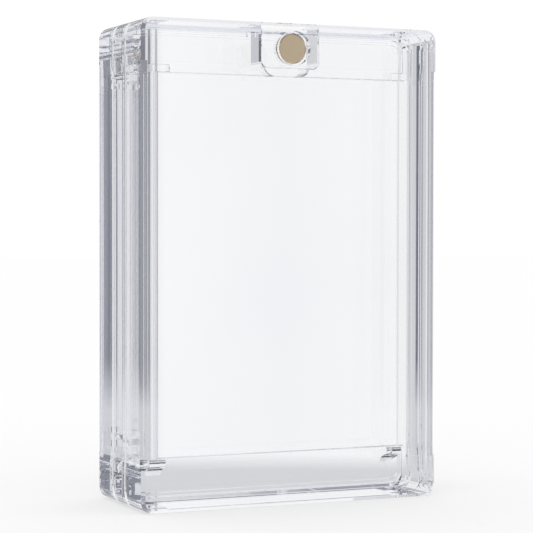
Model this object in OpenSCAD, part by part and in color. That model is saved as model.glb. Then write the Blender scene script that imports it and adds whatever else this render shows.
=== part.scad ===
// Clear trading card display case: a thick front cover that swings on curved tongues,
// a middle block that carries the card, and a back plate. Two disc magnets hold it shut.
// The case stands upright. Its front faces -Y, X runs across it and Z is up.
// "Depth" below is measured back from the front face.

/* [Case] */
// Width of the case across its front
case_w = 78.6; // [76:0.2:88]
// Height of the case
case_h = 116.6; // [114:0.2:128]
// Radius of the four corners in the front view
corner_r = 3; // [2.5:0.25:5]
// Chamfer round the front face
front_chamfer = 0.8; // [0.3:0.1:1]
// Chamfer round the back face
back_chamfer = 0.8; // [0.3:0.1:1.2]
// Chamfer on both sides of each seam
seam_chamfer = 0.15; // [0.15:0.05:0.6]

/* [Layers] */
// Thickness of the front cover at its rim
cover_t = 13.6; // [12.5:0.1:16]
// Thickness of the middle block at its rim
middle_t = 8.6; // [8.2:0.1:12]
// Thickness of the back plate
back_t = 8.7; // [7:0.1:14]
// Thickness of the window in the cover
window_t = 6.5; // [6:0.1:7]
// Air gap between two layers away from their lips
seam_gap = 0.1; // [0.06:0.02:0.2]

/* [Card] */
// Width of the card
card_w = 63.5; // [60:0.5:64.5]
// Height of the card
card_h = 88.9; // [86:0.1:90]
// Thickness of the card
card_t = 0.5; // [0.3:0.1:1.2]
// Play behind the card
card_play = 0.05; // [0.05:0.05:0.3]
// Room beside the card, on each side
card_side_room = 1.9; // [1:0.05:2]
// Room over the card, and under it
card_end_room = 1.45; // [1:0.05:2]
// Gap between the card bed and the cover's skirt
bed_clearance = 0.25; // [0.15:0.05:0.4]

/* [Outside shape] */
// Height of the full-width rail at the top and at the bottom
rail_h = 10.3; // [9:0.1:11]
// Set-back of the cover's front between the two rails
front_setback = 0.4; // [0.3:0.1:0.7]
// Width of the bevel along the cover's sides, seen from the front
bevel_w = 1.5; // [1:0.1:2.6]
// Depth of the same bevel, seen from the side
bevel_d = 1.5; // [0.8:0.1:2.6]
// Thickness of the rim left in front of the grip channel
front_rim = 2.8; // [2.5:0.1:4]
// Thickness of the rim left behind the grip channel
back_rim = 2.8; // [2.5:0.1:4.5]
// Depth of the grip channel that runs round the case
channel = 0.2; // [0.2:0.05:0.8]
// Length of the half-deep step at each end of a side channel
channel_step = 1.7; // [1:0.1:2.5]
// Length of a corner block along the top and the bottom
corner_block = 8.9; // [8:0.1:10]
// Half width of the plain block over the magnets
crown_half = 9; // [9:0.5:12]

/* [Lips] */
// Distance of the lip from the sides of the case
lip_side_margin = 2.65; // [2.5:0.05:3.3]
// Distance of the lip from the top and the bottom of the case
lip_end_margin = 1.8; // [1.6:0.1:2.4]
// Width of the lip
lip_w = 1.0; // [0.7:0.1:1.2]
// Height of the lip over the face that it stands on
lip_h = 0.8; // [0.6:0.1:1]
// Room left at the end of a lip in its groove
lip_end_room = 0.1; // [0.05:0.01:0.2]
// Room on each side of the lip in its groove
lip_clearance = 0.15; // [0.12:0.01:0.25]

/* [Magnets] */
// Diameter of each magnet
magnet_d = 7.3; // [6:0.1:8]
// Thickness of each magnet
magnet_t = 2.2; // [1.5:0.1:2.5]
// Distance of the magnets' axis from the top
magnet_drop = 6.0; // [5.5:0.1:6.5]
// Set-back of the front magnet's face from the front
magnet_setback = 1.3; // [1:0.1:1.6]
// Room round a magnet in its pocket
magnet_clearance = 0.05; // [0.02:0.01:0.1]
// Extra radius of the open mouth in front of the front magnet
mouth_extra = 0.55; // [0.3:0.05:0.8]
// Chamfer on the edges of each magnet
magnet_chamfer = 0.3; // [0.1:0.05:0.4]
// Thickness of the wall between the front magnet and the nest behind it
magnet_wall = 0.6; // [0.5:0.1:0.8]
// Half width of the nest in the cover that takes the magnet boss
nest_half = 7.75; // [6.5:0.05:8]
// Radius of the nest's lower corners
nest_r = 1.5; // [1:0.1:2.5]
// Thickness of the boss under its magnet
boss_wall = 0.8; // [0.6:0.1:1.2]
// Half width of the U-shaped neck that joins the boss to the card bed
neck_half = 6.3; // [5:0.1:6.4]
// Radius of the neck's lower corners
neck_r = 3.1; // [2:0.1:4]
// Room round the boss in its nest
boss_clearance = 0.3; // [0.25:0.05:0.5]
// Drop of the boss below the top, as a place for a fingernail
nail_drop = 1.2; // [0.6:0.1:2]

/* [Tabs and hinge tongues] */
// Distance of the tabs' outer side from the side of the case
tab_margin = 5.2; // [4.8:0.05:5.5]
// Width of each tab and of each hinge tongue
tab_w = 4.15; // [3:0.05:5]
// Thickness of each tab
tab_t = 1.5; // [1:0.1:1.8]
// Length of each top tab
tab_l = 3.4; // [1:0.1:4]
// Room round a tab or a tongue
tab_clearance = 0.15; // [0.1:0.01:0.25]
// Mean radius of the hinge tongues about the hinge line
tongue_r = 10.7; // [9.5:0.1:10.9]
// Angle that the hinge tongues reach behind the cover
tongue_angle = 40; // [25:1:42]

/* [Hidden] */
$fn = 96;
clear_plastic = [0.93, 0.95, 0.98, 0.35];
gold_plate = [0.72, 0.62, 0.47];
over = 1;                                    // how far a cutting shape runs past a face

// Depths, from the front face back
case_t = cover_t + middle_t + back_t;
window_back = front_setback + window_t;
bed_front = window_back + card_t + card_play;
middle_front = cover_t + seam_gap;
middle_back = cover_t + middle_t;
back_front = middle_back + seam_gap;
magnet_back = magnet_setback + magnet_t;
nest_front = magnet_back + magnet_wall;
boss_front = nest_front + boss_clearance;
channel_back = case_t - back_rim;
lip_depth = lip_h - seam_gap + lip_end_room;          // of the groove that takes a lip

// Heights and half widths
cavity_w = card_w + 2 * card_side_room;
cavity_h = card_h + 2 * card_end_room;
cavity_low = (case_h - cavity_h) / 2;
cavity_top = cavity_low + cavity_h;
magnet_z = case_h - magnet_drop;
boss_top = case_h - nail_drop;
nest_low = magnet_z - magnet_d / 2 - magnet_clearance - boss_wall - boss_clearance;
neck_low = cavity_top - boss_clearance;
tab_outer = case_w / 2 - tab_margin;
tab_top = case_h - cavity_low + tab_t + 2 * tab_clearance;
block_half = case_w / 2 - corner_block;

// ---- Helpers ---------------------------------------------------------------

// A flat shape, drawn in X and Z, made solid between two depths
module slab(from, to) {
    translate([0, to - case_t / 2, 0]) rotate([90, 0, 0]) linear_extrude(to - from) children();
}

// A flat shape, drawn in depth and Z, made solid between two places along X
module bar(from, to) {
    translate([from, -case_t / 2, 0]) rotate([90, 0, 90]) linear_extrude(to - from) children();
}

// A rectangle centred on X, between two heights
module span(w, low, high) {
    translate([-w / 2, low]) square([w, high - low]);
}

// A rectangle with round corners, centred on X, between two heights
module round_span(w, low, high, r) {
    span(w - 2 * r, low, high);
    span(w, low + r, high - r);
    for (x = [-1, 1], z = [low + r, high - r]) translate([x * (w / 2 - r), z]) circle(r);
}

// The outline of a layer's thickness: chamfer c1 at its front and c2 at its back
function edge_points(d1, d2, c1, c2, low, high) = [
    [d1, low + c1], [d1 + c1, low], [d2 - c2, low], [d2, low + c2],
    [d2, high - c2], [d2 - c2, high], [d1 + c1, high], [d1, high - c1]
];

// A slab with the outline of the case and a chamfer round both of its faces
module layer(d1, d2, c1, c2) {
    inner = case_w / 2 - corner_r;
    bar(-inner, inner) polygon(edge_points(d1, d2, c1, c2, 0, case_h));
    translate([0, -case_t / 2, corner_r]) linear_extrude(case_h - 2 * corner_r)
        polygon([for (p = edge_points(d1, d2, c1, c2, -case_w / 2, case_w / 2)) [p[1], p[0]]]);
    for (x = [-inner, inner], z = [corner_r, case_h - corner_r])
        translate([x, -case_t / 2, z]) rotate([-90, 0, 0]) rotate_extrude()
            polygon([[0, d1], [corner_r - c1, d1], [corner_r, d1 + c1],
                     [corner_r, d2 - c2], [corner_r - c2, d2], [0, d2]]);
}

// What the grip channel takes away: deep along the sides, with a half-deep step at
// each end, and along the top and the bottom between the corner blocks
module grip_channel() {
    for (x = [-1, 1]) {
        translate([x * case_w / 2, 0, 0]) {
            slab(front_rim, channel_back) span(channel, rail_h, case_h - rail_h);
            slab(front_rim, channel_back)
                span(2 * channel, rail_h + channel_step, case_h - rail_h - channel_step);
        }
        slab(front_rim, channel_back) translate([x * (crown_half + block_half) / 2, 0])
            span(block_half - crown_half, case_h - channel, case_h + over);
    }
    slab(front_rim, channel_back) span(2 * block_half, -over, channel);
}

// The fine V left where two layers meet on the floor of a side channel
module channel_seam(d) {
    side = seam_chamfer * sqrt(2);
    for (x = [-1, 1])
        translate([x * (case_w / 2 - channel), d - case_t / 2, case_h / 2]) rotate([0, 0, 45])
            cube([side, side, case_h - 2 * (rail_h + channel_step)], center = true);
}

// The path of a lip round the case, w wide, open over the crown where the boss stands
module lip_path(extra) {
    difference() {
        round_span(case_w - 2 * (lip_side_margin - extra), lip_end_margin - extra,
                   case_h - lip_end_margin + extra, corner_r);
        round_span(case_w - 2 * (lip_side_margin + lip_w + extra), lip_end_margin + lip_w + extra,
                   case_h - lip_end_margin - lip_w - extra, corner_r - lip_w);
        span(2 * (crown_half - extra), case_h / 2, case_h);
    }
}

// A whole lip, for the back seam, which has no boss
module closed_lip_path(extra) {
    difference() {
        round_span(case_w - 2 * (lip_side_margin - extra), lip_end_margin - extra,
                   case_h - lip_end_margin + extra, corner_r);
        round_span(case_w - 2 * (lip_side_margin + lip_w + extra), lip_end_margin + lip_w + extra,
                   case_h - lip_end_margin - lip_w - extra, corner_r - lip_w);
    }
}

// A U centred on X, with round lower corners
module u_outline(half, low, top, r) {
    span(2 * half, low + r, top);
    span(2 * (half - r), low, top);
    for (x = [-1, 1]) translate([x * (half - r), low + r]) circle(r);
}

// A short round shape on the magnets' axis between two depths
module magnet_bore(from, to, r) {
    translate([0, from - case_t / 2, magnet_z]) rotate([-90, 0, 0]) cylinder(h = to - from, r = r);
}

// The room of a top tab, grown by extra on every side but its root
module top_tabs(from, to, extra) {
    for (x = [-1, 1]) slab(from, to)
        translate([x * (tab_outer - tab_w / 2), 0])
            span(tab_w + 2 * extra, tab_top - tab_t - extra, tab_top + extra);
}

// Both hinge tongues: arcs about the hinge line, which lies on the case's lower
// edge at the cover's back. Each runs from root degrees inside the cover to reach
// degrees behind it.
module tongues(root, reach, extra) {
    for (x = [-1, 1])
        translate([x * (tab_outer - tab_w / 2), cover_t - case_t / 2, 0]) rotate([90, 0, 90])
            rotate([0, 0, 90 - reach]) rotate_extrude(angle = reach + root)
                translate([tongue_r - tab_t / 2 - extra, -tab_w / 2 - extra])
                    square([tab_t + 2 * extra, tab_w + 2 * extra]);
}

module magnet(front) {
    r = magnet_d / 2;
    c = magnet_chamfer;
    color(gold_plate) translate([0, front - case_t / 2, magnet_z]) rotate([-90, 0, 0]) rotate_extrude()
        polygon([[0, 0], [r - c, 0], [r, c], [r, magnet_t - c], [r - c, magnet_t], [0, magnet_t]]);
}

// ---- Sub-parts -------------------------------------------------------------

// The cover: window, skirt round the card bed, nest and neck for the boss, pockets for
// the top tabs, tongues
module front_cover() {
    color(clear_plastic) union() {
        difference() {
            layer(0, cover_t, front_chamfer, seam_chamfer);
            slab(-over, front_setback) span(case_w + 2 * over, rail_h, case_h - rail_h);
            side_bevels();
            grip_channel();
            channel_seam(cover_t);
            slab(window_back, cover_t + over) span(cavity_w, cavity_low, cavity_top);
            slab(nest_front, cover_t + over) u_outline(nest_half, nest_low, case_h + over, nest_r);
            slab(window_back, cover_t + over) u_outline(neck_half, neck_low, magnet_z, neck_r);
            slab(cover_t - lip_depth, cover_t + over) lip_path(lip_clearance);
            magnet_bore(magnet_setback, magnet_back, magnet_d / 2 + magnet_clearance);
            magnet_bore(-over, magnet_setback, magnet_d / 2 + mouth_extra);
            top_tabs(cover_t - tab_l - tab_clearance, cover_t + over, tab_clearance);
        }
        tongues(8, tongue_angle, 0);
    }
}

// The bevels that thin the cover's front along its sides, between the rails
module side_bevels() {
    for (x = [-1, 1])
        translate([x * case_w / 2, -case_t / 2, rail_h]) linear_extrude(case_h - 2 * rail_h)
            polygon([[0, bevel_d], [x * over, bevel_d], [x * over, -over],
                     [-x * bevel_w, -over], [-x * bevel_w, front_setback]]);
}

// The middle block: card bed, boss, lip and top tabs in front, slots for the tongues
module middle_block() {
    color(clear_plastic) difference() {
        union() {
            layer(middle_front, middle_back, seam_chamfer, seam_chamfer);
            slab(bed_front, middle_front + over)
                span(cavity_w - 2 * bed_clearance, cavity_low + bed_clearance, cavity_top - bed_clearance);
            slab(boss_front, middle_front + over)
                u_outline(nest_half - boss_clearance, nest_low + boss_clearance, boss_top, nest_r);
            slab(bed_front, middle_front + over)
                u_outline(neck_half - boss_clearance, neck_low + boss_clearance, magnet_z, neck_r);
            slab(middle_front - lip_h, middle_front + over) lip_path(0);
            top_tabs(cover_t - tab_l, middle_front + over, 0);
        }
        slab(boss_front - over, middle_front + (front_rim - seam_gap) / 2)
            span(2 * (nest_half - boss_clearance), boss_top, case_h + over);
        grip_channel();
        channel_seam(cover_t + seam_gap);
        channel_seam(middle_back);
        tongues(8, tongue_angle + 2, tab_clearance);
        magnet_bore(boss_front - over, boss_front + magnet_t, magnet_d / 2 + magnet_clearance);
        slab(middle_back - lip_depth, middle_back + over) closed_lip_path(lip_clearance);
    }
}

// The back plate, bonded to the middle block by its lip
module back_plate() {
    color(clear_plastic) difference() {
        union() {
            layer(back_front, case_t, seam_chamfer, back_chamfer);
            slab(back_front - lip_h, back_front + over) closed_lip_path(0);
        }
        grip_channel();
        channel_seam(back_front);
    }
}

module front_magnet() {
    magnet(magnet_setback);
}

module rear_magnet() {
    magnet(boss_front);
}

front_cover();
middle_block();
back_plate();
front_magnet();
rear_magnet();
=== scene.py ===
"""Looks of a clear trading card display case: polished acrylic, plated disc magnets and a pale
studio.

Lengths are in metres, in the part's own frame: the front faces -Y and Z is up.
"""
import math

import bmesh
import bpy
from mathutils import Matrix, Vector


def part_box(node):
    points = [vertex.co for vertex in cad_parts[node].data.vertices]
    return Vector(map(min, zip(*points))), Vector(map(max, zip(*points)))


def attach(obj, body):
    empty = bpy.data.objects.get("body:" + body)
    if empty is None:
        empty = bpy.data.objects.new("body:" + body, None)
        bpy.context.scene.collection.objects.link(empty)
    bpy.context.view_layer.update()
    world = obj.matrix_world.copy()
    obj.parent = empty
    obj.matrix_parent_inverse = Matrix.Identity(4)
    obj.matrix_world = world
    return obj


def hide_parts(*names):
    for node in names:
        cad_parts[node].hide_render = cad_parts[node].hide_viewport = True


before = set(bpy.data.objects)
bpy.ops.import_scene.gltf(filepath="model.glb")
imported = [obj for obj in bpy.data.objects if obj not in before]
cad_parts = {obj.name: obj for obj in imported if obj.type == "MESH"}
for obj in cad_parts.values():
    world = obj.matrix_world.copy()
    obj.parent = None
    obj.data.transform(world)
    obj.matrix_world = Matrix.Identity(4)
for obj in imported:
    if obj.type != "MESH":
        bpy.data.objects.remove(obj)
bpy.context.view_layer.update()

# ---- Camera ------------------------------------------------------------------
CAMERA_AT = Vector((-0.1910, -0.4208, 0.0683))
CAMERA_YAW = math.radians(24.365)
CAMERA_PITCH = math.radians(-1.330)
CAMERA_ROLL = math.radians(0.074)
FIELD_OF_VIEW = math.radians(16.374)
CLIP_START = 0.01


def add_camera():
    camera = bpy.data.objects.new("camera", bpy.data.cameras.new("camera"))
    camera.data.sensor_fit = "HORIZONTAL"
    camera.data.angle = FIELD_OF_VIEW
    camera.data.clip_start = CLIP_START
    turn = (Matrix.Rotation(-CAMERA_YAW, 4, "Z")
            @ Matrix.Rotation(math.radians(90) + CAMERA_PITCH, 4, "X")
            @ Matrix.Rotation(CAMERA_ROLL, 4, "Z"))
    camera.matrix_world = Matrix.Translation(CAMERA_AT) @ turn
    bpy.context.scene.collection.objects.link(camera)
    bpy.context.scene.camera = camera


# ---- Nodes -------------------------------------------------------------------
def add(tree, kind, inputs=None, **settings):
    """A new node with these settings. Each input, by name or number, is a value or a link."""
    node = tree.nodes.new(kind)
    for name, value in settings.items():
        setattr(node, name, value)
    for key, value in (inputs or {}).items():
        if isinstance(value, bpy.types.NodeSocket):
            tree.links.new(value, node.inputs[key])
        else:
            node.inputs[key].default_value = value
    return node


def maths(tree, operation, *values):
    return add(tree, "ShaderNodeMath", dict(enumerate(values)), operation=operation).outputs[0]


def map_range(tree, value, source, target=(0, 1)):
    inputs = {"Value": value, "From Min": source[0], "From Max": source[1],
              "To Min": target[0], "To Max": target[1]}
    return add(tree, "ShaderNodeMapRange", inputs).outputs[0]


# A Mix node has its numbers at inputs 2 and 3, and its colours at inputs 6 and 7
def mix(tree, share, first, second):
    return add(tree, "ShaderNodeMix", {0: share, 2: first, 3: second}).outputs[0]


def mix_colours(tree, share, first, second):
    return add(tree, "ShaderNodeMix", {0: share, 6: first, 7: second}, data_type="RGBA").outputs[2]


def mix_shaders(tree, share, first, second):
    return add(tree, "ShaderNodeMixShader", {0: share, 1: first, 2: second}).outputs[0]


def colour_ramp(tree, value, stops):
    """The colour at value, from stops of (position, colour)."""
    node = add(tree, "ShaderNodeValToRGB", {0: value})
    elements = node.color_ramp.elements
    while len(elements) < len(stops):
        elements.new(0.5)
    for element, (position, colour) in zip(elements, stops):
        element.position = position
        element.color = (*colour, 1)
    return node.outputs[0]


def ray_kind(tree, *kinds):
    """1 for rays of the given kinds, otherwise 0."""
    rays = add(tree, "ShaderNodeLightPath")
    value = rays.outputs[kinds[0]]
    for kind in kinds[1:]:
        value = maths(tree, "MAXIMUM", value, rays.outputs[kind])
    return value


def new_material(name):
    material = bpy.data.materials.new(name)
    material.use_nodes = True
    return material, material.node_tree, material.node_tree.nodes["Principled BSDF"]


# ---- Materials ---------------------------------------------------------------
WHITE = (1, 1, 1)
ACRYLIC_IOR = 1.49
ACRYLIC_TINT, ACRYLIC_DENSITY = (0.80, 0.82, 0.90), 6.0
CLOUD_SCALE = 28.0                 # clouds of about 35 mm
CLOUD_DETAIL = 4.0
CLOUDED = (0.990, 0.992, 0.996)
CLOUD_SPAN = (0.30, 0.60)          # noise from the thickest cloud to none
MOTTLE_SCALE, MOTTLE_DETAIL = 900.0, 5.0       # mottling of about a millimetre
TURNED_SCALE, TURNED_DETAIL = 3600.0, 3.0      # turning marks about 0.3 mm apart
GRAIN_SPAN = (0.35, 0.65)          # noise from dark and glossy to pale and duller
PLATING_DARK, PLATING_PALE = (0.66, 0.535, 0.37), (0.74, 0.605, 0.43)
PLATING_ROUGHNESS = (0.18, 0.27)


def clear_acrylic():
    """Polished acrylic: water clear, with the faintest clouding on its faces and a cool tint
    along long paths through it."""
    material, tree, shader = new_material("clear_acrylic")
    place = add(tree, "ShaderNodeTexCoord")
    cloud = add(tree, "ShaderNodeTexNoise", {
        "Vector": place.outputs["Object"], "Scale": CLOUD_SCALE, "Detail": CLOUD_DETAIL})
    film = colour_ramp(tree, cloud.outputs[0], list(zip(CLOUD_SPAN, (CLOUDED, WHITE))))
    tree.links.new(film, shader.inputs["Base Color"])
    shader.inputs["Roughness"].default_value = 0.0
    shader.inputs["IOR"].default_value = ACRYLIC_IOR
    shader.inputs["Transmission Weight"].default_value = 1.0
    volume = add(tree, "ShaderNodeVolumeAbsorption", {
        "Color": (*ACRYLIC_TINT, 1), "Density": ACRYLIC_DENSITY})
    tree.links.new(volume.outputs["Volume"], tree.nodes["Material Output"].inputs["Volume"])
    return material


def magnet_plating():
    """Champagne-gold plating, finely mottled and turned round the magnets' axis."""
    material, tree, shader = new_material("magnet_plating")
    low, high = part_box("front_magnet")
    place = add(tree, "ShaderNodeTexCoord").outputs["Object"]
    centred = add(tree, "ShaderNodeMapping", {
        "Vector": place, "Location": (0, 0, -(low.z + high.z) / 2)})
    split = add(tree, "ShaderNodeSeparateXYZ", {0: centred.outputs[0]})
    across = add(tree, "ShaderNodeCombineXYZ", {
        "X": split.outputs["X"], "Z": split.outputs["Z"]})
    radius = add(tree, "ShaderNodeVectorMath", {0: across.outputs[0]}, operation="LENGTH")
    turned = add(tree, "ShaderNodeTexNoise", {
        "Scale": TURNED_SCALE, "Detail": TURNED_DETAIL}, noise_dimensions="1D")
    tree.links.new(radius.outputs["Value"], turned.inputs["W"])
    mottle = add(tree, "ShaderNodeTexNoise", {
        "Vector": place, "Scale": MOTTLE_SCALE, "Detail": MOTTLE_DETAIL})
    grain = mix(tree, 0.5, turned.outputs[0], mottle.outputs[0])
    tone = colour_ramp(tree, grain, list(zip(GRAIN_SPAN, (PLATING_DARK, PLATING_PALE))))
    tree.links.new(tone, shader.inputs["Base Color"])
    tree.links.new(map_range(tree, grain, GRAIN_SPAN, PLATING_ROUGHNESS),
                   shader.inputs["Roughness"])
    shader.inputs["Metallic"].default_value = 1.0
    return material


def dress(node, material):
    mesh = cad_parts[node].data
    mesh.materials.clear()
    mesh.materials.append(material)


# ---- Magnets -----------------------------------------------------------------
MAGNET_EDGE = 0.0003               # radius of a disc's rounded edges
FACE_MARGIN = 0.00003              # rim of a flat face, which keeps its shading flat
MAGNET_SEAT = 0.00003              # air behind a disc, so that its back shows through acrylic
EDGE_STEPS, LATHE_STEPS = 5, 96


def magnet_disc(node, body, material):
    """The node's disc turned again with round edges, just clear of its pocket's floor."""
    low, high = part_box(node)
    rim, centre = (high.x - low.x) / 2, (high.z + low.z) / 2
    inner, back = rim - MAGNET_EDGE, high.y - MAGNET_SEAT
    corner = [math.radians(90 * i / EDGE_STEPS) for i in range(EDGE_STEPS + 1)]
    edge = [(inner - FACE_MARGIN, 0)]
    edge += [(inner + MAGNET_EDGE * math.sin(a), MAGNET_EDGE * (1 - math.cos(a))) for a in corner]
    profile = [(r, low.y + depth) for r, depth in edge]
    profile += [(r, back - depth) for r, depth in reversed(edge)]
    turns = [2 * math.pi * i / LATHE_STEPS for i in range(LATHE_STEPS)]
    mesh = bmesh.new()
    rings = [[mesh.verts.new((r * math.cos(a), y, centre + r * math.sin(a))) for a in turns]
             for r, y in profile]
    neighbours = [(i, (i + 1) % LATHE_STEPS) for i in range(LATHE_STEPS)]
    for near, far in zip(rings, rings[1:]):
        for i, j in neighbours:
            mesh.faces.new((near[i], near[j], far[j], far[i]))
    for ring, y in ((rings[0], low.y), (rings[-1], back)):
        hub = mesh.verts.new((0, y, centre))
        for i, j in neighbours:
            mesh.faces.new((hub, ring[i], ring[j]))
    bmesh.ops.recalc_face_normals(mesh, faces=mesh.faces)
    for face in mesh.faces:
        face.smooth = True
    disc = bpy.data.objects.new(node + "_disc", bpy.data.meshes.new(node + "_disc"))
    mesh.to_mesh(disc.data)
    mesh.free()
    disc.data.materials.append(material)
    bpy.context.scene.collection.objects.link(disc)
    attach(disc, body)
    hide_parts(node)


# ---- Studio ------------------------------------------------------------------
# What glass and metal find round them: (azimuth in degrees from +Y towards +X, brightness)
STUDIO_RING = [
    (0, 0.9), (10, 0.62), (20, 0.66), (22, 1.0), (28, 1.0), (30, 0.7), (32, 0.7), (38, 0.4),
    (50, 0.16), (140, 0.16), (149, 0.8), (158, 0.85), (160, 0.10), (161, 0.13), (166, 0.05),
    (172, 0.2), (180, 0.8), (200, 0.9), (208, 0.5), (218, 0.08), (238, 0.06), (252, 0.4),
    (270, 0.6), (300, 0.08), (320, 0.08), (329, 0.62), (334, 0.95), (340, 0.9),
]
# The same ring where it changes within a fraction of a degree: panel edges and narrow black
# flags, which the case's sides, window edges and nest show as thin lines
RING_EDGES = [
    [(18, 0.65), (19, 0.76), (20.65, 0.78), (20.67, 0.95), (20.73, 0.95), (20.735, 0.01),
     (20.785, 0.01), (20.79, 1.0), (20.95, 1.0), (20.955, 0.03), (20.99, 0.03), (21.0, 1.0),
     (25, 0.96), (28.6, 1.0), (28.7, 1.0), (28.73, 0.5), (28.77, 0.7), (32, 0.7)],
    [(152, 0.81), (158.8, 0.85), (159.2, 0.08), (161, 0.09), (166, 0.04), (170, 0.15)],
    [(327, 0.5), (329, 0.62), (330.5, 0.66), (330.63, 0.66), (330.635, 0.1), (330.655, 0.1),
     (330.665, 0.97), (330.70, 0.97), (330.72, 0.66), (330.825, 0.66), (330.84, 0.05),
     (330.87, 0.05), (330.88, 0.62), (330.885, 0.62), (330.89, 0.06), (331.01, 0.06),
     (331.03, 0.66), (331.29, 0.66), (331.33, 0.97), (333.5, 0.95)],
    [(333.5, 0.95), (333.8, 0.95), (333.85, 0.66), (334.6, 0.66), (334.65, 0.93),
     (335.795, 0.93), (335.81, 0.02), (335.875, 0.02), (335.885, 0.56), (336.3, 0.56),
     (336.35, 0.93), (337.5, 0.93)],
]
# Rays that fall more steeply than this (their direction's Z) meet the pale table instead of
# the ring, further down its shaded front, and below that the white floor at its foot
TABLE_EDGE, TABLE_LEVEL = (-0.068, -0.100), 0.62
LOWER_LEVELS = [((-0.124, -0.132), 0.69), ((-0.150, -0.190), 0.92)]
SHADE_TINT = (0.0, 0.015, 0.06)    # the studio's darkest colour, a very deep blue
FLOOR_SIZE, FLOOR_COLOUR = 6, (0.98, 0.98, 0.98)
FLOOR_LIFT = 0.62                  # share of plain white in the floor, as the eye sees it
BOUNCES = 48                       # light is passed on many times inside the clear layers


def add_floor():
    """A pale floor that keeps the object's shadow. The eye sees it lifted towards white, and
    glass and metal see past it to the studio ring."""
    bpy.ops.mesh.primitive_plane_add(size=FLOOR_SIZE)
    floor = bpy.context.object
    floor.name = "floor"
    material, tree, shader = new_material("floor")
    shader.inputs["Base Color"].default_value = (*FLOOR_COLOUR, 1)
    shader.inputs["Roughness"].default_value = 1.0
    shader.inputs["Specular IOR Level"].default_value = 0.0
    white = add(tree, "ShaderNodeEmission")
    lift = maths(tree, "MULTIPLY", ray_kind(tree, "Is Camera Ray"), FLOOR_LIFT)
    seen = mix_shaders(tree, lift, shader.outputs[0], white.outputs[0])
    clear = add(tree, "ShaderNodeBsdfTransparent")
    through = ray_kind(tree, "Is Glossy Ray", "Is Transmission Ray")
    surface = mix_shaders(tree, through, seen, clear.outputs[0])
    tree.links.new(surface, tree.nodes["Material Output"].inputs["Surface"])
    floor.data.materials.append(material)


def ring_level(tree, turns, stops):
    """The brightness at turns, a share of the full circle. A ramp is only as fine as 1/256 of
    its own length, so each part of the ring that needs finer steps has a ramp to itself."""
    first, last = stops[0][0], stops[-1][0]
    along = map_range(tree, turns, (first / 360, last / 360))
    return colour_ramp(tree, along, [
        ((azimuth - first) / (last - first), (level, level, level)) for azimuth, level in stops])


def add_world():
    """White to the eye and to the floor. Glass and metal find the studio ring, whose light and
    dark panels give clear plastic its edges."""
    world = bpy.data.worlds.new("studio")
    world.use_nodes = True
    bpy.context.scene.world = world
    tree = world.node_tree
    place = add(tree, "ShaderNodeTexCoord")
    towards = add(tree, "ShaderNodeSeparateXYZ", {0: place.outputs["Generated"]}).outputs
    angle = maths(tree, "ARCTAN2", towards["X"], towards["Y"])
    turns = maths(tree, "FRACT", maths(tree, "DIVIDE", angle, 2 * math.pi))
    level = ring_level(tree, turns, STUDIO_RING + [(360, STUDIO_RING[0][1])])
    for stops in RING_EDGES:
        first, last = stops[0][0] / 360, stops[-1][0] / 360
        inside = maths(tree, "COMPARE", turns, (first + last) / 2, (last - first) / 2)
        level = mix(tree, inside, level, ring_level(tree, turns, stops))
    table = map_range(tree, towards["Z"], TABLE_EDGE, (0, TABLE_LEVEL))
    level = maths(tree, "MAXIMUM", level, table)
    for edge, below in LOWER_LEVELS:
        level = mix(tree, map_range(tree, towards["Z"], edge), level, below)
    studio = mix_colours(tree, level, (*SHADE_TINT, 1), (*WHITE, 1))
    through = ray_kind(tree, "Is Glossy Ray", "Is Transmission Ray")
    background = tree.nodes["Background"]
    tree.links.new(mix_colours(tree, through, (*WHITE, 1), studio), background.inputs["Color"])
    background.inputs["Strength"].default_value = 1.0


add_camera()
acrylic = clear_acrylic()
for name in ("front_cover", "middle_block", "back_plate"):
    dress(name, acrylic)
plating = magnet_plating()
magnet_disc("front_magnet", "cover", plating)
magnet_disc("rear_magnet", "case", plating)
add_floor()
add_world()
bpy.context.scene.view_settings.view_transform = "Standard"
cycles = bpy.context.scene.cycles
cycles.max_bounces = cycles.transmission_bounces = cycles.glossy_bounces = BOUNCES
